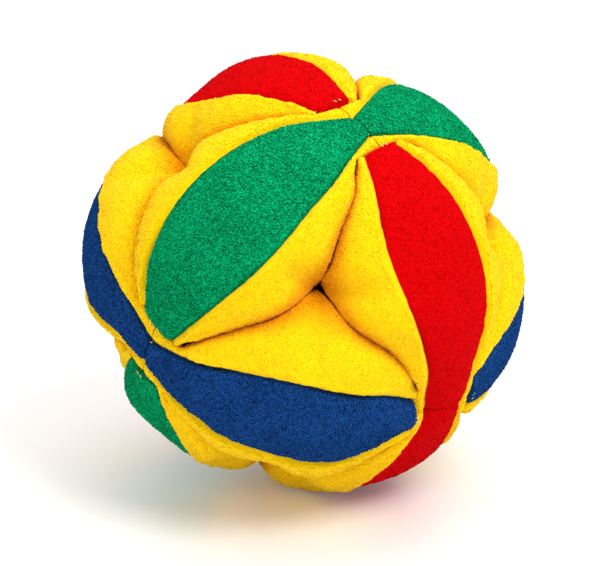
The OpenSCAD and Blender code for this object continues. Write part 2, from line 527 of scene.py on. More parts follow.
@dataclass(frozen=True)
class Grid:
    """Steps of a fleece sheet, how they crowd at the waists, and how much coarser its inner face is."""

    along: int = 150
    panel_across: int = 45
    casing_across: int = 130
    upper_share: float = 0.44
    crowding: float = 0.35
    stride: int = 5


def link(name: str, data: Any) -> bpy.types.Object:
    """Link a new object with this data to the scene.

    Args:
        name: Name of the object.
        data: Its mesh, lamp or camera.

    Returns:
        The object.
    """
    made = bpy.data.objects.new(name, data)
    bpy.context.scene.collection.objects.link(made)
    return made


def new_object(name: str, points: np.ndarray, faces: Sequence[Sequence[int]]) -> bpy.types.Object:
    """Link a smooth closed mesh to the scene.

    Args:
        name: Name of the object and its mesh.
        points: Vertices in the frame.
        faces: Vertex numbers of each face.

    Returns:
        The new object.
    """
    mesh = bpy.data.meshes.new(name)
    mesh.from_pydata(points.tolist(), [], faces)
    shape = bmesh.new()
    shape.from_mesh(mesh)
    bmesh.ops.recalc_face_normals(shape, faces=shape.faces)
    shape.to_mesh(mesh)
    shape.free()
    mesh.shade_smooth()
    mesh.set_sharp_from_angle(angle=math.radians(SHARP_A))
    return link(name, mesh)


def grid_cells(ids: np.ndarray, flip: bool) -> list[tuple[int, ...]]:
    """Four-sided faces of a grid of vertex numbers.

    Args:
        ids: The grid.
        flip: Whether the faces turn the other way round.

    Returns:
        Vertex numbers of each face.
    """
    a, b = ids[:-1, :-1].ravel(), ids[1:, :-1].ravel()
    c, d = ids[1:, 1:].ravel(), ids[:-1, 1:].ravel()
    corners = (a, d, c, b) if flip else (a, b, c, d)
    return [tuple(int(v) for v in face) for face in zip(*corners)]


def grid_normals(points: np.ndarray, inside: np.ndarray) -> np.ndarray:
    """Unit normals of a grid of points.

    Args:
        points: The grid, rows by columns by 3.
        inside: A point for each row, from which the normals point away.

    Returns:
        The normals, in the same grid.
    """
    along = np.gradient(points, axis=0)
    across = np.gradient(points, axis=1)
    normal = np.cross(along, across)
    normal /= np.maximum(np.linalg.norm(normal, axis=-1, keepdims=True), 1e-12)
    away = np.sum(normal * (points - inside[:, None, :]), axis=-1).mean()
    return normal if away > 0 else -normal


class SheetMesh:
    """Builds a closed sheet of fleece from a fine outer grid and a coarse inner one."""

    def __init__(self, outer: np.ndarray, inner: np.ndarray, stride: int) -> None:
        """Keep the two grids.

        Args:
            outer: Points of the outer face, rows by columns by 3.
            inner: Points of the inner face on the same grid.
            stride: Step at which the inner face is thinned.
        """
        self.outer = outer
        self.inner = inner[::stride, ::stride]
        self.stride = stride

    def _rim(self, fine: np.ndarray, coarse: np.ndarray) -> list[tuple[int, ...]]:
        """Triangles between an edge of the fine face and the same edge of the coarse one.

        Args:
            fine: Vertex numbers along the fine edge.
            coarse: Vertex numbers along the coarse edge.

        Returns:
            Vertex numbers of each triangle.
        """
        faces = []
        half = self.stride // 2
        for j in range(len(coarse) - 1):
            start, near, far = j * self.stride, int(coarse[j]), int(coarse[j + 1])
            for i in range(self.stride):
                anchor = near if i < half else far
                faces.append((int(fine[start + i]), int(fine[start + i + 1]), anchor))
            faces.append((int(fine[start + half]), far, near))
        return faces

    def area(self) -> float:
        """Area of the outer face.

        Returns:
            The area in square metres.
        """
        across = self.outer[1:, 1:] - self.outer[:-1, :-1]
        along = self.outer[1:, :-1] - self.outer[:-1, 1:]
        return float(np.linalg.norm(np.cross(across, along), axis=-1).sum() / 2)

    def build(self, name: str, marks: dict[str, np.ndarray]) -> bpy.types.Object:
        """Make the object.

        Args:
            name: Name of the object and its mesh.
            marks: Attributes of the outer face's points, each from 0 to 1, under their names.

        Returns:
            The new object, linked to the scene, with its faces outwards.
        """
        n, m = self.outer.shape[:2]
        rows, columns = self.inner.shape[:2]
        fine = np.arange(n * m).reshape(n, m)
        coarse = n * m + np.arange(rows * columns).reshape(rows, columns)
        faces = grid_cells(fine, False) + grid_cells(coarse, True)
        for edge in ((0, slice(None)), (-1, slice(None)), (slice(None), 0), (slice(None), -1)):
            faces += self._rim(fine[edge], coarse[edge])
        points = np.concatenate([self.outer.reshape(-1, 3), self.inner.reshape(-1, 3)])
        made = new_object(name, points, faces)
        for mark, amounts in marks.items():
            values = np.zeros(len(points), dtype=np.float32)
            values[:n * m] = np.broadcast_to(amounts, (n, m)).ravel()
            made.data.attributes.new(mark, "FLOAT", "POINT").data.foreach_set("value", values)
        return made


class Wire:
    """A node's output socket that adds Math nodes when it is used in an expression."""

    def __init__(self, book: "NodeBook", socket: bpy.types.NodeSocket) -> None:
        """Wrap one output socket of a tree."""
        self.book = book
        self.socket = socket

    def _math(self, operation: str, first: Any, second: Any) -> "Wire":
        """Add one Math node and return its output."""
        return self.book.add("ShaderNodeMath", {"operation": operation}, {0: first, 1: second})

    def __add__(self, other: Any) -> "Wire":
        """Sum."""
        return self._math("ADD", self, other)

    __radd__ = __add__

    def __sub__(self, other: Any) -> "Wire":
        """Difference."""
        return self._math("SUBTRACT", self, other)

    def __rsub__(self, other: Any) -> "Wire":
        """Difference, the other way round."""
        return self._math("SUBTRACT", other, self)

    def __mul__(self, other: Any) -> "Wire":
        """Product."""
        return self._math("MULTIPLY", self, other)

    __rmul__ = __mul__

    def clamped(self) -> "Wire":
        """The value held between 0 and 1."""
        return self.book.add("ShaderNodeClamp", {}, {"Value": self})


class NodeBook:
    """Adds nodes to one material, world or geometry tree."""

    def __init__(self, tree: bpy.types.NodeTree) -> None:
        """Start with an empty tree."""
        self.tree = tree
        tree.nodes.clear()

    @classmethod
    def of(cls, owner: Any) -> "NodeBook":
        """The book of a new material's or world's own tree."""
        owner.use_nodes = True
        return cls(owner.node_tree)

    def node(self, kind: str, settings: dict, inputs: dict) -> bpy.types.Node:
        """Add a node.

        Args:
            kind: Type of the node.
            settings: Properties to set before its sockets.
            inputs: Socket name or number to a value, a socket or a wire.

        Returns:
            The node.
        """
        made = self.tree.nodes.new(kind)
        for key, value in settings.items():
            setattr(made, key, value)
        for key, value in inputs.items():
            socket = made.inputs[key]
            source = value.socket if isinstance(value, Wire) else value
            if isinstance(source, bpy.types.NodeSocket):
                self.tree.links.new(source, socket)
            else:
                socket.default_value = source
        return made

    def add(self, kind: str, settings: dict, inputs: dict, output: Union[int, str] = 0) -> Wire:
        """Add a node and return one of its outputs as a wire."""
        return Wire(self, self.node(kind, settings, inputs).outputs[output])

    def vector(self, operation: str, inputs: dict) -> Wire:
        """Add one Vector Math node and return its output."""
        return self.add("ShaderNodeVectorMath", {"operation": operation}, inputs)

    def noise(self, inputs: dict, output: str = "Fac") -> Wire:
        """Add a noise texture and return its value, or its colour."""
        return self.add("ShaderNodeTexNoise", {}, inputs, output)

    def ramp(self, inputs: dict) -> Wire:
        """Add a smooth step from one range to another."""
        return self.add("ShaderNodeMapRange", {"interpolation_type": "SMOOTHSTEP"}, inputs)

    def mark(self, name: str) -> Wire:
        """Read one of the piece's own attributes."""
        return self.add("ShaderNodeAttribute", {"attribute_name": name}, {}, "Fac")

    def mix_colour(self, factor: Any, first: Any, second: Any) -> Wire:
        """Mix two colours: factor is the share of the second."""
        return self.add("ShaderNodeMix", {"data_type": "RGBA"}, {0: factor, 6: first, 7: second}, 2)

    def looked_at(self) -> Wire:
        """1 for rays that look at a surface, straight, mirrored or through glass, and 0 for the rest.

        Returns:
            The mask.
        """
        path = self.node("ShaderNodeLightPath", {}, {})
        straight, mirrored, through = (
            Wire(self, path.outputs[f"Is {kind} Ray"]) for kind in ("Camera", "Glossy", "Transmission"))
        return (straight + mirrored + through).clamped()


def linear(red: float, green: float, blue: float) -> Colour:
    """Linear colour from the sRGB values, 0 to 255, that a picture shows.

    Args:
        red: Red value.
        green: Green value.
        blue: Blue value.

    Returns:
        The colour, opaque.
    """
    def channel(v: float) -> float:
        """One channel from sRGB to linear."""
        v /= 255.0
        return v / 12.92 if v <= 0.04045 else ((v + 0.055) / 1.055) ** 2.4

    return (channel(red), channel(green), channel(blue), 1.0)


@dataclass(frozen=True)
class FleeceFinish:
    """Short curly pile: tufts about a millimetre across, darker between them.

    Tip, body and deep colour the tufts' ends, the pile and the gaps between tufts. Fuzz colours the loose
    ends that catch the light. Where the pile is thin the colour is painted darker towards deep, as shade in
    the seams, and crease is the warm shade painted down in a fold between wedges.
    """

    name: str
    tip: Colour
    body: Colour
    deep: Colour
    fuzz: Optional[Colour] = None
    crease: Optional[Colour] = None
    tuft: float = 1.25 * MM
    patch: float = 14 * MM
    curl: float = 1.1
    curl_scale: float = 0.45
    fibre_scale: float = 2.6
    tuft_merge: float = 0.35
    tuft_relief: float = 0.75
    fibre_relief: float = 0.45
    gap_range: tuple = (0.52, 0.86)
    fibre_contrast: float = 2.4
    patch_contrast: float = 0.3
    tip_share: float = 0.38
    # Painted shade: below this share of full pile the colour is darkened towards deep, by up to seam_shade,
    # and crease_shade is how much warm crease colour is painted into folds.
    pressed_below: float = 0.5
    seam_shade: float = 0.55
    crease_shade: float = 0.8
    bump_depth: float = 0.55 * MM
    bump_strength: float = 0.85
    roughness: float = 0.98
    tuft_gloss: float = 0.1
    specular: float = 0.04
    sheen: float = 0.14
    sheen_roughness: float = 0.5

    def material(self) -> bpy.types.Material:
        """Build the material.

        Returns:
            A material whose pattern follows object coordinates, with shade painted where the sheet's pile is
            thin and down in its creases.
        """
        made = bpy.data.materials.new(self.name)
        book = NodeBook.of(made)
        place = book.add("ShaderNodeTexCoord", {}, {}, "Object")
        warp = book.noise({"Vector": place, "Scale": self.curl_scale / self.tuft, "Detail": 2.0}, "Color")
        centred = book.vector("SUBTRACT", {0: warp, 1: (0.5, 0.5, 0.5)})
        pull = book.vector("SCALE", {0: centred, "Scale": self.curl * self.tuft})
        curled = book.vector("ADD", {0: place, 1: pull})
        cell = book.add("ShaderNodeTexVoronoi", {"feature": "SMOOTH_F1"}, {
            "Vector": curled, "Scale": 1.0 / self.tuft, "Smoothness": self.tuft_merge}, "Distance")
        fibre = book.noise({"Vector": curled, "Scale": self.fibre_scale / self.tuft, "Detail": 3.0})
        broad = book.noise({"Vector": place, "Scale": 1.0 / self.patch, "Detail": 2.0})
        height = (1.0 - cell) * self.tuft_relief + fibre * self.fibre_relief
        depth = book.ramp({"Value": height, "From Min": self.gap_range[0], "From Max": self.gap_range[1]})
        shade = book.mix_colour(depth, self.deep, self.body)
        lit = (fibre - 0.5) * self.fibre_contrast + (broad - 0.5) * self.patch_contrast + self.tip_share
        fluffy = book.mix_colour(lit.clamped(), shade, self.tip)
        # Painted shade: where the pile is thin, in seams, at the wedge's ends, at the floor and on the
        # hidden inner sides, the colour is darkened towards deep.
        pressed = book.ramp({"Value": book.mark(PILE_AND_SHADE_ATTRIBUTE), "From Min": 0.0,
                             "From Max": self.pressed_below, "To Min": self.seam_shade, "To Max": 0.0})
        with_painted_seam_shade = book.mix_colour(pressed, fluffy, self.deep)
        # Painted shade: warm crease colour laid down the sides into the fold between wedges.
        folded = book.mark(CREASE_SHADE_ATTRIBUTE) * self.crease_shade
        colour = book.mix_colour(folded, with_painted_seam_shade, self.crease or self.deep)
        bump = book.add("ShaderNodeBump", {}, {
            "Strength": self.bump_strength, "Distance": self.bump_depth, "Height": height})
        shader = book.add("ShaderNodeBsdfPrincipled", {}, {
            "Base Color": colour, "Roughness": self.roughness - depth * self.tuft_gloss, "Normal": bump,
            "Sheen Weight": self.sheen, "Sheen Roughness": self.sheen_roughness,
            "Sheen Tint": self.fuzz or self.tip, "Specular IOR Level": self.specular})
        book.node("ShaderNodeOutputMaterial", {}, {"Surface": shader})
        return made


@dataclass(frozen=True)
class ThreadFinish:
    """Matt spun thread: two twisted strands with fine fuzz."""

    name: str = "sewing_thread"
    light: Colour = linear(250, 236, 170)
    dark: Colour = linear(206, 176, 92)
    twist: float = 0.5 * MM
    strand_scale: float = 0.3
    strand_warp: float = 2.0
    strand_share: float = 0.6
    fuzz_scale: float = 2.0
    bump_depth: float = 0.1 * MM
    bump_strength: float = 0.6
    roughness: float = 0.85
    specular: float = 0.2

    def material(self) -> bpy.types.Material:
        """Build the material.

        Returns:
            A material whose pattern follows object coordinates.
        """
        made = bpy.data.materials.new(self.name)
        book = NodeBook.of(made)
        place = book.add("ShaderNodeTexCoord", {}, {}, "Object")
        strand = book.add("ShaderNodeTexWave", {"wave_type": "BANDS", "bands_direction": "DIAGONAL"}, {
            "Vector": place, "Scale": self.strand_scale / self.twist, "Distortion": self.strand_warp}, "Fac")
        fuzz = book.noise({"Vector": place, "Scale": self.fuzz_scale / self.twist})
        lit = (strand * self.strand_share + fuzz * (1 - self.strand_share)).clamped()
        colour = book.mix_colour(lit, self.dark, self.light)
        bump = book.add("ShaderNodeBump", {}, {
            "Strength": self.bump_strength, "Distance": self.bump_depth, "Height": strand})
        shader = book.add("ShaderNodeBsdfPrincipled", {}, {
            "Base Color": colour, "Roughness": self.roughness, "Normal": bump,
            "Specular IOR Level": self.specular})
        book.node("ShaderNodeOutputMaterial", {}, {"Surface": shader})
        return made


@dataclass(frozen=True)
class StuffingFinish:
    """Loose white polyester fibre."""

    name: str = "polyester_stuffing"
    light: Colour = (0.93, 0.93, 0.91, 1.0)
    dark: Colour = (0.72, 0.72, 0.69, 1.0)
    fibre: float = 1.5 * MM
    fibre_warp: float = 1.5
    bump_depth: float = 0.4 * MM
    bump_strength: float = 0.7
    roughness: float = 0.95

    def material(self) -> bpy.types.Material:
        """Build the material.

        Returns:
            A material whose pattern follows object coordinates.
        """
        made = bpy.data.materials.new(self.name)
        book = NodeBook.of(made)
        place = book.add("ShaderNodeTexCoord", {}, {}, "Object")
        wisps = book.noise({"Vector": place, "Scale": 1.0 / self.fibre, "Detail": 4.0,
                            "Distortion": self.fibre_warp})
        colour = book.mix_colour(wisps, self.dark, self.light)
        bump = book.add("ShaderNodeBump", {}, {
            "Strength": self.bump_strength, "Distance": self.bump_depth, "Height": wisps})
        shader = book.add("ShaderNodeBsdfPrincipled", {}, {
            "Base Color": colour, "Roughness": self.roughness, "Normal": bump})
        book.node("ShaderNodeOutputMaterial", {}, {"Surface": shader})
        return made


class Wardrobe:
    """All the finishes, made once."""

    def __init__(self) -> None:
        """Build every material."""
        self.fleece = {
            Ring.GREEN: FleeceFinish(
                "green_fleece", linear(4, 204, 132), linear(0, 142, 82), linear(0, 58, 30)).material(),
            Ring.BLUE: FleeceFinish(
                "blue_fleece", linear(36, 98, 178), linear(4, 42, 108), linear(0, 14, 52)).material(),
            Ring.RED: FleeceFinish(
                "red_fleece", linear(222, 2, 8), linear(210, 0, 5), linear(190, 0, 3),
                sheen=0.06, bump_depth=0.14 * MM).material(),
        }
        self.yellow = FleeceFinish(
            "yellow_fleece", linear(255, 222, 16), linear(255, 210, 0), linear(253, 196, 0),
            # Painted shade: crease is the warm orange painted into the folds between yellow sides.
            fuzz=linear(255, 240, 140), crease=linear(228, 134, 0),
            sheen=0.22, bump_depth=0.13 * MM, seam_shade=0.2).material()
        self.thread = ThreadFinish().material()
        self.stuffing = StuffingFinish().material()


class NodeTool:
    """A geometry tree with named inputs, run on a mesh to give another plain mesh."""

    _made: Optional["NodeTool"] = None

    def __init__(self, name: str, inputs: dict) -> None:
        """Start the tree.

        Args:
            name: Name of the tree.
            inputs: Name of each input to its socket type.
        """
        self.tree = bpy.data.node_groups.new(name, "GeometryNodeTree")
        self.book = NodeBook(self.tree)
        sockets = {"Geometry": "NodeSocketGeometry", **inputs}
        face = self.tree.interface
        self.names = {label: face.new_socket(label, in_out="INPUT", socket_type=kind).identifier
                      for label, kind in sockets.items()}
        face.new_socket("Geometry", in_out="OUTPUT", socket_type="NodeSocketGeometry")
        self.given = self.book.node("NodeGroupInput", {}, {})

    @classmethod
    def instance(cls) -> Self:
        """The one tree of its kind, made when it is first asked for.

        Returns:
            The tree.
        """
        if cls._made is None:
            cls._made = cls()
        return cls._made

    def take(self, label: str) -> Wire:
        """One of the tree's inputs, as a wire."""
        return Wire(self.book, self.given.outputs[label])

    def turned(self, base: Wire, low: dict, high: dict) -> Wire:
        """A rotation turned in its own axes by a random amount.

        Args:
            base: The rotation.
            low: Least angle about each axis, in radians, under the axis's number.
            high: Greatest angle, likewise.

        Returns:
            The turned rotation.
        """
        ends = [self.book.add("ShaderNodeCombineXYZ", {}, angles) for angles in (low, high)]
        jitter = self.book.add("FunctionNodeRandomValue", {"data_type": "FLOAT_VECTOR"},
                               {0: ends[0], 1: ends[1], "Seed": self.take("Seed")})
        turn = self.book.add("FunctionNodeEulerToRotation", {}, {0: jitter})
        return self.book.add("FunctionNodeRotateRotation", {"rotation_space": "LOCAL"},
                             {0: base, 1: turn})

    def close(self, points: Wire, piece: Wire, aim: Wire, size: Wire, look: Wire) -> None:
        """End the tree: set a piece on each point, make the pieces real, dress them and hand them out.

        Args:
            points: Where the pieces go.
            piece: The mesh to repeat.
            aim: Rotation of each.
            size: Scale of each.
            look: Their material.
        """
        set_out = self.book.add("GeometryNodeInstanceOnPoints", {}, {
            "Points": points, "Instance": piece, "Rotation": aim, "Scale": size})
        real = self.book.add("GeometryNodeRealizeInstances", {}, {"Geometry": set_out})
        dressed = self.book.add("GeometryNodeSetMaterial", {}, {"Geometry": real, "Material": look})
        self.book.node("NodeGroupOutput", {}, {"Geometry": dressed})

    def run(self, host_mesh: bpy.types.Mesh, name: str, values: dict) -> bpy.types.Object:
        """Run the tree on a mesh.

        Args:
            host_mesh: Mesh that the tree works on, which stays as it is.
            name: Name of the new object.
            values: Input's name to its value.

        Returns:
            A new object with a plain smooth mesh, linked to the scene.
        """
        host = link(f"{name}_host", host_mesh)
        step = host.modifiers.new("nodes", "NODES")
        step.node_group = self.tree
        for label, value in values.items():
            step[self.names[label]] = value
        evaluated = host.evaluated_get(bpy.context.evaluated_depsgraph_get())
        mesh = bpy.data.meshes.new_from_object(evaluated)
        host.modifiers.remove(step)
        bpy.data.objects.remove(host)
        mesh.name = name
        mesh.shade_smooth()
        return link(name, mesh)


class PileTree(NodeTool):
    """Short curly tufts scattered over a fleece sheet."""

    SPACING = 0.9 * MM
    TUFT_R = 0.54 * MM
    TUFT_SIDES = 5
    TOP_SHARE = 0.45
    LEAN = 0.4
    LEAST_SIZE = 0.6
    GREATEST_SIZE = 1.25
    PRESSED_SIZE = 0.35
    PER_SQUARE_METRE = 4.0e6
    EDGE_GAIN = 8.0

    def __init__(self) -> None:
        """Build the tree."""
        super().__init__("fleece_pile", {
            "Spacing": "NodeSocketFloat", "Tuft Radius": "NodeSocketFloat",
            "Tuft Height": "NodeSocketFloat", "Lean": "NodeSocketFloat", "Seed": "NodeSocketInt",
            "Fleece": "NodeSocketMaterial"})
        book = self.book
        stands = book.add("GeometryNodeInputNamedAttribute", {"data_type": "FLOAT"},
                          {"Name": PILE_AND_SHADE_ATTRIBUTE})
        seed, lean, radius = self.take("Seed"), self.take("Lean"), self.take("Tuft Radius")
        spread = book.node("GeometryNodeDistributePointsOnFaces", {"distribute_method": "POISSON"}, {
            "Mesh": self.take("Geometry"), "Distance Min": self.take("Spacing"),
            "Density Max": self.PER_SQUARE_METRE, "Density Factor": (stands * self.EDGE_GAIN).clamped(),
            "Seed": seed})
        tuft = book.add("GeometryNodeMeshCone", {"fill_type": "NGON"}, {
            "Vertices": self.TUFT_SIDES, "Side Segments": 1, "Radius Top": radius * self.TOP_SHARE,
            "Radius Bottom": radius, "Depth": self.take("Tuft Height")})
        aim = self.turned(Wire(book, spread.outputs["Rotation"]),
                          {0: 0.0 - lean, 1: 0.0 - lean, 2: -math.pi}, {0: lean, 1: lean, 2: math.pi})
        varied = book.add("FunctionNodeRandomValue", {"data_type": "FLOAT"}, {
            2: self.LEAST_SIZE, 3: self.GREATEST_SIZE, "Seed": seed + 1.0}, 1)
        size = varied * (stands * (1 - self.PRESSED_SIZE) + self.PRESSED_SIZE)
        self.close(Wire(book, spread.outputs["Points"]), tuft, aim, size, self.take("Fleece"))

    def grow(self, sheet: bpy.types.Object, name: str, look: bpy.types.Material, tuft_h: float,
             seed: int) -> bpy.types.Object:
        """Grow pile on a sheet.

        Args:
            sheet: The fleece sheet, with its pile attribute.
            name: Name of the pile.
            look: The fleece's material.
            tuft_h: Height of a tuft.
            seed: Seed of the scatter.

        Returns:
            The tufts, as one plain mesh.
        """
        return self.run(sheet.data, name, {
            "Spacing": self.SPACING, "Tuft Radius": self.TUFT_R, "Tuft Height": tuft_h,
            "Lean": self.LEAN, "Seed": seed, "Fleece": look})


class StitchTree(NodeTool):
    """Short stitches of spun thread set along a path, across it."""

    LEAST_SLANT = 0.4
    GREATEST_SLANT = 1.6

    def __init__(self) -> None:
        """Build the tree."""
        super().__init__("hand_stitches", {
            "Spacing": "NodeSocketFloat", "Stitch Length": "NodeSocketFloat", "Thread": "NodeSocketFloat",
            "Slant": "NodeSocketFloat", "Middle": "NodeSocketVector", "Seed": "NodeSocketInt",
            "Spun": "NodeSocketMaterial"})
        book = self.book
        slant, thread = self.take("Slant"), self.take("Thread")
        path = book.add("GeometryNodeMeshToCurve", {}, {"Mesh": self.take("Geometry")})
        spaced = book.add("GeometryNodeResampleCurve", {"mode": "LENGTH"},
                          {"Curve": path, "Length": self.take("Spacing")})
        place = book.add("GeometryNodeInputPosition", {}, {})
        outward = book.vector("SUBTRACT", {0: place, 1: self.take("Middle")})
        along = book.add("GeometryNodeInputTangent", {}, {})
        across = book.vector("CROSS_PRODUCT", {0: along, 1: outward})
        up = book.add("FunctionNodeAlignRotationToVector", {"axis": "Z"}, {"Vector": outward})
        laid = book.add("FunctionNodeAlignRotationToVector", {"axis": "X", "pivot_axis": "Z"},
                        {"Rotation": up, "Vector": across})
        aim = self.turned(laid, {2: slant * self.LEAST_SLANT}, {2: slant * self.GREATEST_SLANT})
        grain = book.add("GeometryNodeMeshUVSphere", {}, {"Segments": 8, "Rings": 6, "Radius": 0.5})
        size = book.add("ShaderNodeCombineXYZ", {}, {0: self.take("Stitch Length"), 1: thread, 2: thread})
        self.close(spaced, grain, aim, size, self.take("Spun"))

    def sew(self, paths: Sequence[np.ndarray], name: str, look: bpy.types.Material, stitch: Stitch,
            seed: int) -> bpy.types.Object:
        """Sew stitches along some paths.

        Args:
            paths: Points of each path, in the frame.
            name: Name of the new piece.
            look: The thread's material.
            stitch: Sizes of the stitches.
            seed: Seed of their slants.

        Returns:
            The stitches, as one plain mesh.
        """
        points, edges = [], []
        for path in paths:
            edges += [(i, i + 1) for i in range(len(points), len(points) + len(path) - 1)]
            points += path.tolist()
        mesh = bpy.data.meshes.new(f"{name}_path")
        mesh.from_pydata(points, edges, [])
        made = self.run(mesh, name, {
            "Spacing": stitch.spacing, "Stitch Length": stitch.length, "Thread": stitch.thread,
            "Slant": stitch.slant, "Seed": seed, "Middle": Lie().centre().tolist(), "Spun": look})
        bpy.data.meshes.remove(mesh)
        return made


@dataclass
class StuffedWedge:
    """One wedge: its coloured panel, its yellow casing, its stuffing and the stitches at its tip."""

    ring: Ring
    quarter: int
    shape: WedgeShape
    detail: SewnDetail
    grid: Grid
    lie: Lie
    handwork: Handwork = field(init=False)
    seed: int = field(init=False)
    angles: np.ndarray = field(init=False)

    def __post_init__(self) -> None:
        """Work out what follows from the wedge's place: its handwork, its seed and its stations."""
        self.handwork = Handwork.of(self.ring, self.quarter)
        self.seed = 100 * self.ring.value + 10 * self.quarter
        u = np.linspace(0.0, 1.0, self.grid.along + 1)
        self.angles = QUARTER * (u - self.grid.crowding * np.sin(2 * math.pi * u) / (2 * math.pi))

    @property
    def body(self) -> str:
        """Name of the body that the wedge's pieces ride on."""
        return f"{self.ring.word}_wedge_{self.quarter + 1}"

    def node(self, piece: str) -> str:
        """Name of the wedge's node for a kind of piece."""
        return f"{self.ring.word}_{piece}_{self.quarter + 1}"

    def _edge_half(self) -> np.ndarray:
        """Half widths of the panel on its two sides, with the pile's ragged edge, as 2 rows.

        Returns:
            The half widths at the stations, a row for each side.
        """
        plain = self.shape.panel_half(self.angles)
        room = self.shape.half_width(self.angles) - self.detail.lip_share * self.shape.lip_w
        run = np.radians(self.angles) * self.shape.ball_r
        line = np.stack([run, np.zeros_like(run), np.zeros_like(run)], -1)
        drift = self.handwork.drift * np.sin(np.radians(2 * self.angles))
        halves = []
        for side, sign in ((1, -1), (2, 1)):
            ragged = self.detail.jag * Lumps(self.seed + side, self.detail.jag_wavelength).at(line)
            halves.append(np.minimum(plain + sign * drift + ragged, np.maximum(room, plain)))
        return np.stack(halves)

    def _crown(self, angles: np.ndarray) -> np.ndarray:
        """Radius of the wedge's own crown line."""
        return self.shape.crown(angles) - self.handwork.slack * np.sin(np.radians(2 * angles)) ** 2

    def _fall(self, c: np.ndarray) -> np.ndarray:
        """How far the panel's face lies below the crown at a distance from the wedge's middle plane."""
        plain = self.shape.panel_half(self.angles)[:, None]
        return self.shape.panel_sag * plain / (self.shape.panel_w / 2) * (c / plain) ** 2

    def _core(self) -> np.ndarray:
        """Points along the middle of the stuffing, one for each station."""
        middle = (self.shape.crown(self.angles) + self.shape.ridge(self.angles)) / 2
        return self.shape.on_section(self.angles, middle, np.zeros_like(middle))

    def _pulled(self, points: np.ndarray, from_seam: np.ndarray, roll: float) -> np.ndarray:
        """Give a plain face its sewn groove, rolled edge, puckers, lumps and pile clumps.

        Args:
            points: Grid of the plain face.
            from_seam: Distance of each point from the nearest seam.
            roll: Height of the edge beside the seam, rolled over the turned-in cloth.

        Returns:
            The grid with every point moved along its normal.
        """
        detail = self.detail
        normals = grid_normals(points, self._core())
        in_groove = np.exp(-((from_seam / detail.groove_w) ** 2))
        reach = np.exp(-from_seam / detail.pucker_reach) * (1 - in_groove)
        calm = smooth_step(self.shape.from_crossing(self.angles)[:, None], *detail.calm_a)
        groove = -detail.groove * in_groove
        rolled = roll * calm * np.exp(-(((from_seam - detail.roll_at) / detail.roll_w) ** 2))
        pucker = detail.pucker * reach * Lumps(self.seed + 3, detail.pucker_wavelength).at(points)
        lump = detail.lump * calm * Lumps(self.seed + 4, detail.lump_wavelength).at(points)
        clumps = Lumps(self.seed + 5, detail.clump_wavelength, detail.clump_waves)
        clump = detail.clump * clumps.at(points)
        free = calm * np.minimum(from_seam / detail.groove_w, 1.0)
        return points + normals * (groove + rolled + (pucker + lump) * free + clump * calm)[..., None]

    def _panel_face(self, inset: float) -> tuple[np.ndarray, np.ndarray]:
        """Grid of the panel's face and the distance of each point from its seams.

        Args:
            inset: How far inside the plain face the grid lies.

        Returns:
            The grid in the ball's axes, and the distances.
        """
        u = np.linspace(-1.0, 1.0, self.grid.panel_across + 1)[None, :]
        halves = self._edge_half()
        half = np.where(u < 0, halves[0][:, None], halves[1][:, None]) - inset / 2
        radius = self._crown(self.angles)[:, None] - inset - self._fall(half * u)
        return self.shape.on_section(self.angles[:, None], radius, half * u), half * (1 - np.abs(u))

    def _casing_face(self, inset: float) -> tuple[np.ndarray, np.ndarray]:
        """Grid of the casing's face, seam to seam round the ridge, and the distance from its seams.

        Args:
            inset: How far inside the plain face the grid lies.

        Returns:
            The grid in the ball's axes, and the distances.
        """
        shape = self.shape
        t = np.linspace(-1.0, 1.0, self.grid.casing_across + 1)[None, :]
        halves = self._edge_half()
        half = np.where(t < 0, halves[0][:, None], halves[1][:, None]) - inset / 2
        wide = shape.half_width(self.angles)[:, None] - inset
        edge = self._crown(self.angles)[:, None] - inset - self._fall(half)
        middle = shape.widest(self.angles)[:, None]
        low = shape.ridge(self.angles)[:, None] + inset
        share = self.grid.upper_share
        v = 1 - np.abs(t)
        upper = np.radians(np.clip(v / share, 0, 1) * QUARTER)
        lower = np.radians(np.clip((v - share) / (1 - share), 0, 1) * QUARTER)
        power = shape.flatness(self.angles)[:, None]
        down, out = np.maximum(np.cos(upper), 0) ** power, np.sin(upper) ** power
        outside, inside = middle + (edge - middle) * down, middle - (middle - low) * np.sin(lower)
        radius = np.where(v < share, outside, inside)
        inner = wide * shape.inner_share(np.degrees(lower))
        width = np.where(v < share, half + (wide - half) * out, inner)
        face = shape.on_section(self.angles[:, None], radius, np.sign(t) * width)
        steps = np.linalg.norm(np.diff(face, axis=1), axis=-1)
        run = np.concatenate([np.zeros_like(steps[:, :1]), np.cumsum(steps, axis=1)], axis=1)
        return face, np.minimum(run, run[:, -1:] - run)

    def _settled(self, points: np.ndarray) -> np.ndarray:
        """Carry a grid to the wedge's place, pressed flat where the ball rests.

        Args:
            points: Points of the master wedge, in any grid.

        Returns:
            The points in the frame, in the same grid.
        """
        placed = self.lie.place(points, self.ring, self.quarter)
        placed = Stuffing().moved(placed, self.lie.centre())
        placed[..., 2] = np.maximum(placed[..., 2], 0.0)
        return placed

    def _sheet(self, piece: str, face: Face, marks: dict[str, np.ndarray], look: bpy.types.Material) -> list[bpy.types.Object]:
        """Build one fleece sheet and its pile, dressed.

        Args:
            piece: Kind of piece, as the nodes name it.
            face: Method that gives the sheet's face and the distances from its seams.
            marks: How thick the pile stands on the outer face, where thin pile also gets painted shade, and
                how much crease shade is painted.
            look: The fleece's material.

        Returns:
            The sheet and its pile.
        """
        outer, from_seam = face(0.0)
        inner, _ = face(self.shape.fleece_t)
        cased = piece == "casing"
        outer = self._settled(self._pulled(outer, from_seam, self.detail.roll if cased else 0.0))
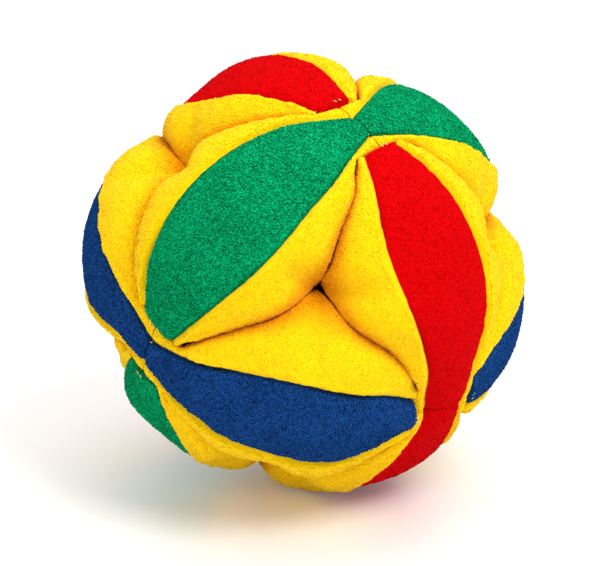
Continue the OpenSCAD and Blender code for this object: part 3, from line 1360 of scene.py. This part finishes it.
        # Pile thins where the ball rests on the floor, and the material paints shade where the pile is thin.
        clear = smooth_step(outer[..., 2], *self.detail.bare_floor)
        marks = {**marks, PILE_AND_SHADE_ATTRIBUTE: marks[PILE_AND_SHADE_ATTRIBUTE] * clear}
        sheet = SheetMesh(outer, self._settled(inner), self.grid.stride)
        made = sheet.build(f"{self.node(piece)}_fleece", marks)
        made.data.materials.append(look)
        tuft_h = self.detail.casing_tuft_h if cased else self.ring.tuft_h
        tufts = PileTree.instance().grow(
            made, f"{self.node(piece)}_pile", look, tuft_h, self.seed + len(piece))
        for item in (made, tufts):
            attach(item, self.body)
        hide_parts(self.node(piece))
        sheet.area()
        f"{self.node('fill')}_stuffing"
        return [made, tufts]

    def _pile(self, from_seam: np.ndarray) -> np.ndarray:
        """How thick pile stands on a sheet: none at the wedge's sewn ends or down in the seams' grooves,
        where the material paints shade.

        Args:
            from_seam: Distance of each point from the nearest seam.

        Returns:
            From 0, bare, to 1, full, for each point.
        """
        run = np.radians(self.shape.from_crossing(self.angles)) * self.shape.over_top
        ends = smooth_step(run, *self.detail.bare_end)[:, None]
        return ends * smooth_step(from_seam, *self.detail.bare_seam)

    def panel(self, wardrobe: Wardrobe) -> list[bpy.types.Object]:
        """Make the coloured panel and its pile, dressed.

        Args:
            wardrobe: The finishes.

        Returns:
            The panel and its pile.
        """
        _, from_seam = self._panel_face(0.0)
        marks = {PILE_AND_SHADE_ATTRIBUTE: self._pile(from_seam)}
        look = wardrobe.fleece[self.ring]
        return self._sheet("panel", self._panel_face, marks, look)

    def casing(self, wardrobe: Wardrobe) -> list[bpy.types.Object]:
        """Make the yellow casing and its pile, which stands only where the sides show, with shade painted
        into the crease.

        Args:
            wardrobe: The finishes.

        Returns:
            The casing and its pile.
        """
        t = np.linspace(-1.0, 1.0, self.grid.casing_across + 1)[None, :]
        down = (1 - np.abs(t)) / self.grid.upper_share
        shown = 1 - smooth_step(down, *self.detail.bare_inside)
        _, from_seam = self._casing_face(0.0)
        # Painted shade: thin pile darkens the colour, and the crease mark paints warm shade down into the
        # fold.
        marks = {PILE_AND_SHADE_ATTRIBUTE: self._pile(from_seam) * shown,
                 CREASE_SHADE_ATTRIBUTE: smooth_step(down, *self.detail.crease_from)}
        return self._sheet("casing", self._casing_face, marks, wardrobe.yellow)

    def tip_stitches(self, wardrobe: Wardrobe) -> bpy.types.Object:
        """Sew the few hand stitches that close the panel's tucked tip.

        Args:
            wardrobe: The finishes.

        Returns:
            The stitches, as one piece.
        """
        detail = self.detail
        a = np.full(detail.tip_row_points, QUARTER - self.shape.drop_a - detail.tip_row_a)
        c = np.linspace(-detail.tip_row_half, detail.tip_row_half, detail.tip_row_points)
        path = self._settled(self.shape.on_section(a, self._crown(a) - detail.tip_sunk, c))
        made = StitchTree.instance().sew(
            [path], f"{self.node('tip')}_stitches", wardrobe.thread, detail.tip_stitch, self.seed + 8)
        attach(made, self.body)
        return made

    def fill(self, wardrobe: Wardrobe) -> bpy.types.Object:
        """Make the stuffing inside the two sheets, dressed.

        Args:
            wardrobe: The finishes.

        Returns:
            The stuffing.
        """
        thick = self.detail.core_inset * self.shape.fleece_t
        step = self.grid.stride
        panel, _ = self._panel_face(thick)
        casing, _ = self._casing_face(thick)
        loop = np.concatenate([panel[::step, ::step], casing[::step, ::-step][:, 1:-1]], axis=1)
        rings, around = loop.shape[:2]
        ids = np.arange(rings * around).reshape(rings, around)
        faces = grid_cells(np.concatenate([ids, ids[:, :1]], axis=1), False)
        faces += [tuple(int(v) for v in ids[0]), tuple(int(v) for v in ids[-1][::-1])]
        lumps = Lumps(self.seed + 6, self.detail.core_wavelength).at(loop)
        soft = loop + self.detail.core_lump * lumps[..., None]
        made = new_object(f"{self.node('fill')}_stuffing", self._settled(soft).reshape(-1, 3), faces)
        made.data.materials.append(wardrobe.stuffing)
        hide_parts(self.node("fill"))
        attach(made, self.body)
        return made

    def build(self, wardrobe: Wardrobe) -> list[bpy.types.Object]:
        """Make all the wedge's pieces."""
        made = [self.fill(wardrobe), *self.panel(wardrobe), *self.casing(wardrobe)]
        return made + [self.tip_stitches(wardrobe)]


@dataclass(frozen=True)
class WaistSeams:
    """The sewn waists: the folded layers between two wedges' ends, and the thread through them."""

    shape: WedgeShape
    lie: Lie
    fold_sides: int = 40
    fold_rim: float = 2.6 * MM
    fold_half_t: float = 0.04 * MM
    sewn_share: float = 0.35
    sewn_points: int = 15
    sunk: float = 1.1 * MM
    stitch: Stitch = Stitch(2.2 * MM, 1.9 * MM, 0.42 * MM, 0.35)
    seed: int = 7

    def _waists(self) -> list[tuple[Ring, int, float, float]]:
        """Ring, number, middle radius and half width of each waist: every second one is tucked.

        Returns:
            A row for each waist, ring by ring.
        """
        over = (self.shape.over_mid, self.shape.neck_w / 2)
        tucked = (self.shape.over_mid - self.shape.tuck_drop, self.shape.tuck_w / 2)
        return [(ring, k, *(tucked if k % 2 else over)) for ring in Ring for k in range(WEDGES_PER_RING)]

    def _place(self, ring: Ring, k: int, radius: np.ndarray, c: np.ndarray, side: float) -> np.ndarray:
        """Place points at a waist.

        Args:
            ring: Ring of the waist.
            k: Number of the waist in its ring, from 0.
            radius: Distance of each point from the middle of the ball.
            c: Distance of each point from the ring's middle plane.
            side: Distance of all the points from the seam.

        Returns:
            The points in the frame.
        """
        aside = np.full_like(radius, side)
        flat = np.stack([aside, radius, c] if k % 2 else [radius, aside, c], axis=-1)
        return Stuffing().moved(self.lie.place(flat, ring, k - k % 2), self.lie.centre())

    def folds(self, wardrobe: Wardrobe) -> bpy.types.Object:
        """Make the thin folded layers that close the gap at each waist.

        Args:
            wardrobe: The finishes.

        Returns:
            The folds of all the waists, as one piece.
        """
        n = self.fold_sides
        turn = np.linspace(0, 2 * math.pi, n, endpoint=False)
        points, faces = [], []
        for ring, k, mid, half in self._waists():
            radius = mid + (self.shape.neck_t / 2 - self.fold_rim) * np.sin(turn)
            c = (half - self.fold_rim) * np.cos(turn)
            first = n * len(points)
            points += [self._place(ring, k, radius, c, side * self.fold_half_t) for side in (-1, 1)]
            low, high = range(first, first + n), range(first + n, first + 2 * n)
            faces += [tuple(low), tuple(reversed(high))]
            faces += [(low[i], high[i], high[(i + 1) % n], low[(i + 1) % n]) for i in range(n)]
        made = new_object("waist_seam_folds", np.concatenate(points), faces)
        made.data.materials.append(wardrobe.yellow)
        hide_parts(*(f"{ring.word}_waist_seam_{k + 1}" for ring, k, _, _ in self._waists()))
        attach(made, ROOT_BODY)
        return made

    def stitches(self, wardrobe: Wardrobe) -> bpy.types.Object:
        """Sew the thread down in the crease of each waist.

        Args:
            wardrobe: The finishes.

        Returns:
            The stitches of all the waists, as one piece.
        """
        paths = []
        for ring, k, mid, half in self._waists():
            c = np.linspace(-self.sewn_share * half, self.sewn_share * half, self.sewn_points)
            top = mid + self.shape.neck_t / 2 * np.sqrt(1 - (c / half) ** 2)
            paths.append(self._place(ring, k, top - self.shape.pinch - self.sunk, c, 0.0))
        made = StitchTree.instance().sew(paths, "waist_stitches", wardrobe.thread, self.stitch, self.seed)
        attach(made, ROOT_BODY)
        return made


@dataclass(frozen=True)
class Lamp:
    """One soft round lamp: its place, how wide it is and its power in watts."""

    name: str
    place: tuple
    size: float
    power: float


@dataclass(frozen=True)
class Studio:
    """Pale floor, soft light and the camera at the photograph's angle."""

    frame_w: int = 605
    frame_h: int = 566
    ball_px: float = 221.4
    centre_px: tuple = (304.0, 272.6)
    distance: float = 1.0
    sensor: float = 36.0
    view_end: float = 20.0
    floor_half: float = 4.0
    floor_colour: Colour = (0.92, 0.92, 0.92, 1.0)
    floor_roughness: float = 0.36
    floor_specular: float = 1.0
    floor_glow: float = 0.08
    ambient: float = 0.54
    lamps: tuple = (
        Lamp("key", (0.6, -0.6, 1.1), 0.7, 12.0),
        Lamp("fill", (-0.9, -0.7, 0.7), 1.1, 3.5),
        Lamp("top", (0.05, 0.25, 1.3), 1.2, 7.0),
    )

    def camera(self, centre: np.ndarray, ball_r: float) -> None:
        """Place the camera.

        Args:
            centre: Middle of the ball.
            ball_r: Radius of the ball.
        """
        pixel = ball_r / self.ball_px
        data = bpy.data.cameras.new("camera")
        data.sensor_width = self.sensor
        data.sensor_fit = "HORIZONTAL"
        data.lens = self.sensor * self.distance / (self.frame_w * pixel)
        data.clip_end = self.view_end
        tilt = math.radians(VIEW_ELEVATION)
        back = Vector((0.0, -math.cos(tilt), math.sin(tilt)))
        up = Vector((0.0, math.sin(tilt), math.cos(tilt)))
        right_by = (self.frame_w / 2 - self.centre_px[0]) * pixel
        up_by = (self.centre_px[1] - self.frame_h / 2) * pixel
        aim = Vector(centre) + Vector((1, 0, 0)) * right_by + up * up_by
        made = link("camera", data)
        made.location = aim + back * self.distance
        made.rotation_euler = back.to_track_quat("Z", "Y").to_euler()
        bpy.context.scene.camera = made

    def floor(self) -> None:
        """Lay the pale floor, which shows white to the camera but keeps the ball's shadow."""
        corners = [(x * self.floor_half, y * self.floor_half, 0)
                   for x, y in ((-1, -1), (1, -1), (1, 1), (-1, 1))]
        mesh = bpy.data.meshes.new("floor")
        mesh.from_pydata(corners, [], [(0, 1, 2, 3)])
        look = bpy.data.materials.new("pale_floor")
        book = NodeBook.of(look)
        glow = book.add("ShaderNodeEmission", {}, {
            "Color": (1, 1, 1, 1), "Strength": book.looked_at() * self.floor_glow})
        matt = book.add("ShaderNodeBsdfPrincipled", {}, {
            "Base Color": self.floor_colour, "Roughness": self.floor_roughness,
            "Specular IOR Level": self.floor_specular})
        both = book.add("ShaderNodeAddShader", {}, {0: glow, 1: matt})
        book.node("ShaderNodeOutputMaterial", {}, {"Surface": both})
        mesh.materials.append(look)
        link("floor", mesh)

    def lights(self, centre: np.ndarray) -> None:
        """Hang the soft lamps and set the world.

        Args:
            centre: Middle of the ball, which the lamps face.
        """
        for lamp in self.lamps:
            data = bpy.data.lights.new(lamp.name, "AREA")
            data.shape = "DISK"
            data.size = lamp.size
            data.energy = lamp.power
            made = link(lamp.name, data)
            made.location = Vector(lamp.place)
            aim = Vector(lamp.place) - Vector(centre)
            made.rotation_euler = aim.to_track_quat("Z", "Y").to_euler()
        world = bpy.data.worlds.new("studio")
        book = NodeBook.of(world)
        strength = book.looked_at() * (1 - self.ambient) + self.ambient
        glow = book.add("ShaderNodeBackground", {}, {"Color": (1, 1, 1, 1), "Strength": strength})
        book.node("ShaderNodeOutputWorld", {}, {"Surface": glow})
        bpy.context.scene.world = world


def main() -> None:
    """Build the ball, dress it and light it."""
    logging.basicConfig(level=logging.INFO, format="%(name)s: %(message)s")
    bpy.context.scene.view_settings.view_transform = "Standard"
    lie, detail, grid, studio = Lie(), SewnDetail(), Grid(), Studio()
    studio.camera(lie.centre(), WedgeShape().ball_r)
    studio.floor()
    studio.lights(lie.centre())
    wardrobe = Wardrobe()
    for ring in Ring:
        shape = WedgeShape(panel_w=ring.panel_w, strip_w=ring.strip_w, taper=ring.taper)
        for quarter in range(WEDGES_PER_RING):
            wedge = StuffedWedge(ring, quarter, shape, detail, grid, lie)
            made = wedge.build(wardrobe)
            LOG.info("%s: %s", wedge.body, ", ".join(f"{o.name} {len(o.data.polygons)}" for o in made))
    seams = WaistSeams(WedgeShape(), lie)
    for made in (seams.folds(wardrobe), seams.stitches(wardrobe)):
        LOG.info("%s: %d faces", made.name, len(made.data.polygons))


if __name__ == "__main__":
    main()
